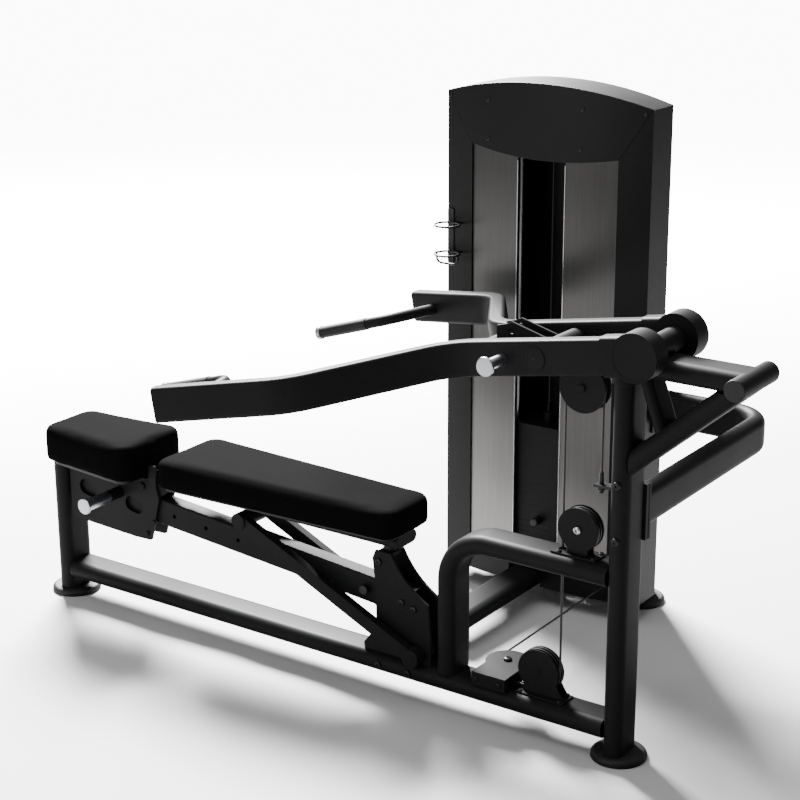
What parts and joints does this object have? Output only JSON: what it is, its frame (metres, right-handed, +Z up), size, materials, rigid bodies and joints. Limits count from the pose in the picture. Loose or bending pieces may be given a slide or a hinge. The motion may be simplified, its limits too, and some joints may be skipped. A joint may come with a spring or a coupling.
{
  "type": "adjustable bench press machine",
  "caption": "Weight-stack multi-press: sliding adjustable bench under press arms that pivot overhead, cable-linked to a shrouded weight tower.",
  "frame": {"origin": "middle of the pivot post's foot, on the floor", "axes": "+X from the seat to the pivot post along the bench, +Y from the bench to the weight tower, +Z up"},
  "size_m": [2.3755, 1.5991, 1.614],
  "materials": {
    "black_frame": "satin, fine texture",
    "tower_black": "satin",
    "black_plastic": "matte",
    "bright_metal": "satin",
    "machined_steel": "satin",
    "dark_brushed": "brushed upright",
    "pad_cover": "matte grained",
    "black_rubber": "matte",
    "stack_iron": "matte",
    "cable_jacket": "satin"
  },
  "bodies": {
    "frame": {"base_frame": "black_frame", "tower_base": "black_frame", "seat_post": "black_frame", "pivot_post": "black_frame", "feet": "black_rubber", "step_tube": "black_frame", "pivot_barrel": "black_frame", "rear_beam": "black_frame", "rear_brace": "black_frame", "tube_caps": "black_plastic", "slide_rail": "black_frame", "end_stop_pin": "black_plastic", "pedestal": "black_frame", "rubber_bumpers": "black_rubber", "middle_bracket": "black_frame", "lower_bracket": "black_frame", "turn_bracket": "black_frame", "cable_anchor": "machined_steel", "frame_bolts": "machined_steel", "link_tube": "black_frame", "tower_uprights": "black_frame", "guide_rods": "machined_steel", "resting_plates": "stack_iron", "tower_stiles": "tower_black", "tower_panels": "dark_brushed", "tower_header": "tower_black", "tower_shell": "tower_black", "bottle_holder": "black_frame", "tower_pulleys": "black_plastic", "cable_run_fixed": "cable_jacket", "cable_run_long": "cable_jacket", "cable_base": "cable_jacket", "cable_stack_run": "cable_jacket"},
    "press_arms": {"press_arm_near": "black_frame", "press_arm_far": "black_frame", "arm_hubs": "black_frame", "pivot_shaft": "machined_steel", "arm_ties": "black_frame", "arm_web": "black_frame", "handles": "black_frame", "handle_grips": "black_rubber", "bright_pegs": "bright_metal"},
    "hanging_pulley": {"moving_yoke": "black_frame", "cable_wrap": "cable_jacket"},
    "hanging_wheel": {"moving_sheave": "black_plastic"},
    "middle_wheel": {"middle_sheave": "black_plastic"},
    "lower_wheel": {"lower_sheave": "black_plastic"},
    "turn_wheel": {"turn_sheave": "black_plastic"},
    "carriage": {"seat_carriage": "black_frame", "foot_pegs": "black_frame", "foot_peg_sleeves": "bright_metal", "seat_pad": "pad_cover"},
    "backrest": {"back_frame": "black_frame", "back_pad": "pad_cover"},
    "strut": {"strut_frame": "black_frame", "strut_end_caps": "bright_metal"},
    "weights": {"lifted_plates": "stack_iron", "stack_stem": "stack_iron"},
    "pin": {"selector_pin": "black_plastic"}
  },
  "joints": [
    {"name": "press_swing", "type": "hinge", "parent": "frame", "child": "press_arms", "pos_m": [0.076, 0, 1.132], "axis": [0, 1, 0], "range_deg": [0, 50], "deforming": ["cable_run_fixed", "cable_run_long"]},
    {"name": "pulley_hang", "type": "hinge", "parent": "press_arms", "child": "hanging_pulley", "pos_m": [-0.128, 0, 1.078], "axis": [0, 1, 0], "range_deg": [-50, 0]},
    {"name": "hanging_wheel_spin", "type": "hinge", "parent": "hanging_pulley", "child": "hanging_wheel", "pos_m": [-0.128, 0, 0.992], "axis": [0, 1, 0], "continuous": true},
    {"name": "middle_wheel_spin", "type": "hinge", "parent": "frame", "child": "middle_wheel", "pos_m": [-0.13, 0, 0.611], "axis": [0, 1, 0], "continuous": true},
    {"name": "lower_wheel_spin", "type": "hinge", "parent": "frame", "child": "lower_wheel", "pos_m": [-0.24, 0, 0.182], "axis": [0, 1, 0], "continuous": true},
    {"name": "turn_wheel_spin", "type": "hinge", "parent": "frame", "child": "turn_wheel", "pos_m": [-0.38, 0.058, 0.124], "axis": [0, 0, 1], "continuous": true},
    {"name": "stack_lift", "type": "slide", "parent": "frame", "child": "weights", "axis": [0, 0, 1], "range_m": [0, 0.352], "deforming": ["cable_stack_run"]},
    {"name": "pin_pull", "type": "slide", "parent": "weights", "child": "pin", "axis": [0, -1, 0], "range_m": [0, 0.07]},
    {"name": "carriage_slide", "type": "slide", "parent": "frame", "child": "carriage", "axis": [0.9967, 0, -0.0812], "range_m": [0, 0.351]},
    {"name": "backrest_tilt", "type": "hinge", "parent": "carriage", "child": "backrest", "pos_m": [-1.617, 0, 0.425], "axis": [0, -1, 0], "range_deg": [0, 50]},
    {"name": "strut_swing", "type": "hinge", "parent": "frame", "child": "strut", "pos_m": [-0.616, 0, 0.14], "axis": [0, 1, 0], "range_deg": [0, 22.7]}
  ],
  "couplings": [
    {"joint": "pulley_hang", "follows": "press_swing", "ratio": -1},
    {"joint": "stack_lift", "follows": "press_swing", "m_per_rad": 0.402},
    {"joint": "carriage_slide", "follows": "backrest_tilt", "m_per_rad": 0.401},
    {"joint": "strut_swing", "follows": "backrest_tilt", "ratio": 0.451}
  ]
}
